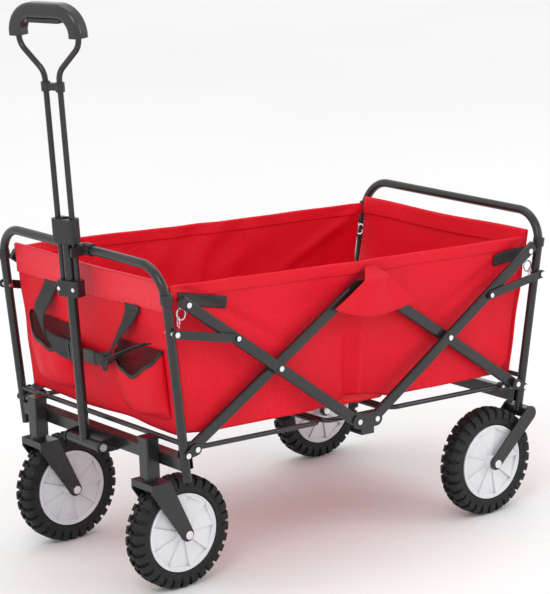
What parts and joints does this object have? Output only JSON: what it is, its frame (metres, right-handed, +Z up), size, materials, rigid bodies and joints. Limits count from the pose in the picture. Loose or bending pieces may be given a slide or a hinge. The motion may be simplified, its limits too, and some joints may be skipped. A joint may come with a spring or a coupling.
{
  "type": "folding utility wagon",
  "caption": "Folding fabric utility wagon: scissor-linked tube frame, open cloth basket, two caster and two fixed wheels, telescoping pull handle",
  "frame": {"origin": "on the ground, under the centre of the whole object's box", "axes": "+X from the handle end to the rear, +Y from the near side to the far side, +Z up"},
  "size_m": [0.9342, 0.561, 0.9969],
  "materials": {
    "black_frame": "satin black powder coat",
    "black_plastic": "moulded black plastic",
    "bright_steel": "zinc-plated steel",
    "tyre": "moulded black tread",
    "hub_grey": "moulded pale grey plastic",
    "red_cloth": "woven red polyester",
    "board": "stiff black board under the floor cloth",
    "soft_grip": "ribbed soft grip"
  },
  "bodies": {
    "front_frame": {"front_frame_tube": "black_frame", "front_post_fittings": "black_plastic", "front_cross_members": "black_frame", "front_foot_brackets": "black_frame", "front_pins": "bright_steel", "front_panel": "red_cloth", "caster_housings": "black_frame", "handle_bracket": "black_frame", "rail_clip": "black_plastic", "panel_buckle": "black_plastic", "side_panel_near": "red_cloth", "side_panel_far": "red_cloth"},
    "front_rising": {"front_rising_arms": "black_frame", "front_crossing_rivets": "bright_steel"},
    "front_falling": {"front_falling_arms": "black_frame", "front_top_rivets": "bright_steel"},
    "upper_hub": {"upper_hubs": "black_frame", "hub_flaps": "red_cloth"},
    "lower_hub": {"lower_hub_plates": "black_frame", "lower_hub_rivets": "bright_steel", "centre_floor_frame": "black_frame", "centre_floor_board": "board"},
    "rear_falling": {"rear_falling_arms": "black_frame", "rear_top_rivets": "bright_steel"},
    "rear_rising": {"rear_rising_arms": "black_frame", "rear_crossing_rivets": "bright_steel"},
    "rear_frame": {"rear_frame_tube": "black_frame", "rear_post_fittings": "black_plastic", "rear_cross_members": "black_frame", "rear_foot_brackets": "black_frame", "rear_pins": "bright_steel", "rear_panel": "red_cloth", "rear_forks": "black_frame", "rear_axles": "bright_steel"},
    "front_links": {"front_links": "black_frame"},
    "rear_links": {"rear_links": "black_frame"},
    "front_floor": {"front_floor_rod": "black_frame", "front_floor_board": "board"},
    "rear_floor": {"rear_floor_rod": "black_frame", "rear_floor_board": "board"},
    "handle": {"handle_mast": "black_frame"},
    "handle_collar": {"handle_collar": "black_plastic"},
    "pull_handle": {"handle_slider": "black_plastic", "slider_rivets": "bright_steel", "pull_rod": "black_frame", "rod_spacer": "black_plastic", "handle_grip": "black_plastic", "grip_pad": "soft_grip"},
    "caster_near": {"front_fork_near": "black_frame", "front_axle_near": "bright_steel"},
    "front_wheel_near": {"front_tyre_near": "tyre", "front_hub_near": "hub_grey"},
    "rear_wheel_near": {"rear_tyre_near": "tyre", "rear_hub_near": "hub_grey"},
    "caster_far": {"front_fork_far": "black_frame", "front_axle_far": "bright_steel"},
    "front_wheel_far": {"front_tyre_far": "tyre", "front_hub_far": "hub_grey"},
    "rear_wheel_far": {"rear_tyre_far": "tyre", "rear_hub_far": "hub_grey"}
  },
  "joints": [
    {"name": "frame_fold", "type": "hinge", "parent": "front_frame", "child": "front_rising", "pos_m": [-0.35241, 0, 0.26673], "axis": [0, -1, 0], "range_deg": [0, 44], "deforming": ["side_panel_near", "side_panel_far"]},
    {"name": "front_crossing", "type": "hinge", "parent": "front_rising", "child": "front_falling", "pos_m": [-0.17246, 0, 0.37168], "axis": [0, -1, 0], "range_deg": [-88, 0]},
    {"name": "upper_hub_turn", "type": "hinge", "parent": "front_rising", "child": "upper_hub", "pos_m": [0.00649, 0, 0.47667], "axis": [0, -1, 0], "range_deg": [-44, 0]},
    {"name": "lower_hub_turn", "type": "hinge", "parent": "front_falling", "child": "lower_hub", "pos_m": [-0.00413, 0, 0.24291], "axis": [0, -1, 0], "range_deg": [0, 44]},
    {"name": "rear_falling_turn", "type": "hinge", "parent": "lower_hub", "child": "rear_falling", "pos_m": [0.03583, 0, 0.24109], "axis": [0, -1, 0], "range_deg": [0, 44]},
    {"name": "rear_crossing", "type": "hinge", "parent": "rear_falling", "child": "rear_rising", "pos_m": [0.21514, 0, 0.35407], "axis": [0, -1, 0], "range_deg": [-88, 0]},
    {"name": "rear_foot_turn", "type": "hinge", "parent": "rear_rising", "child": "rear_frame", "pos_m": [0.38483, 0, 0.23325], "axis": [0, -1, 0], "range_deg": [0, 44]},
    {"name": "front_link_turn", "type": "hinge", "parent": "front_frame", "child": "front_links", "pos_m": [-0.38953, 0, 0.47136], "axis": [0, -1, 0], "range_deg": [0, 66]},
    {"name": "rear_link_turn", "type": "hinge", "parent": "rear_frame", "child": "rear_links", "pos_m": [0.44035, 0, 0.43367], "axis": [0, -1, 0], "range_deg": [-66, 0]},
    {"name": "front_floor_turn", "type": "hinge", "parent": "front_frame", "child": "front_floor", "pos_m": [-0.33567, 0, 0.26047], "axis": [0, -1, 0], "range_deg": [0, 72.6]},
    {"name": "rear_floor_turn", "type": "hinge", "parent": "rear_frame", "child": "rear_floor", "pos_m": [0.3676, 0, 0.22853], "axis": [0, -1, 0], "range_deg": [-72.6, 0]},
    {"name": "front_swivel_near", "type": "hinge", "parent": "front_frame", "child": "caster_near", "pos_m": [-0.39015, -0.17, 0.245], "axis": [0, 0, 1], "continuous": true},
    {"name": "front_wheel_spin_near", "type": "hinge", "parent": "caster_near", "child": "front_wheel_near", "pos_m": [-0.33815, -0.17, 0.1], "axis": [0, 1, 0], "continuous": true},
    {"name": "rear_wheel_spin_near", "type": "hinge", "parent": "rear_frame", "child": "rear_wheel_near", "pos_m": [0.31185, -0.245, 0.1], "axis": [0, 1, 0], "continuous": true},
    {"name": "front_swivel_far", "type": "hinge", "parent": "front_frame", "child": "caster_far", "pos_m": [-0.39015, 0.17, 0.245], "axis": [0, 0, 1], "continuous": true},
    {"name": "front_wheel_spin_far", "type": "hinge", "parent": "caster_far", "child": "front_wheel_far", "pos_m": [-0.33815, 0.17, 0.1], "axis": [0, 1, 0], "continuous": true},
    {"name": "rear_wheel_spin_far", "type": "hinge", "parent": "rear_frame", "child": "rear_wheel_far", "pos_m": [0.31185, 0.245, 0.1], "axis": [0, 1, 0], "continuous": true},
    {"name": "handle_tilt", "type": "hinge", "parent": "front_frame", "child": "handle", "pos_m": [-0.40415, 0, 0.236], "axis": [0, -1, 0], "range_deg": [0, 100]},
    {"name": "handle_swivel", "type": "hinge", "parent": "handle", "child": "handle_collar", "pos_m": [-0.40415, 0, 0.236], "axis": [-0.0436, 0, 0.999], "range_deg": [-28, 0]},
    {"name": "handle_slide", "type": "slide", "parent": "handle_collar", "child": "pull_handle", "axis": [-0.0436, 0, 0.999], "range_m": [-0.21, 0.03]}
  ],
  "couplings": [
    {"joint": "front_crossing", "follows": "frame_fold", "ratio": -2},
    {"joint": "upper_hub_turn", "follows": "frame_fold", "ratio": -1},
    {"joint": "lower_hub_turn", "follows": "frame_fold", "ratio": 1},
    {"joint": "rear_falling_turn", "follows": "frame_fold", "ratio": 1},
    {"joint": "rear_crossing", "follows": "frame_fold", "ratio": -2},
    {"joint": "rear_foot_turn", "follows": "frame_fold", "ratio": 1},
    {"joint": "front_link_turn", "follows": "frame_fold", "ratio": 1.5},
    {"joint": "rear_link_turn", "follows": "frame_fold", "ratio": -1.5},
    {"joint": "front_floor_turn", "follows": "frame_fold", "ratio": 1.65},
    {"joint": "rear_floor_turn", "follows": "frame_fold", "ratio": -1.65}
  ]
}
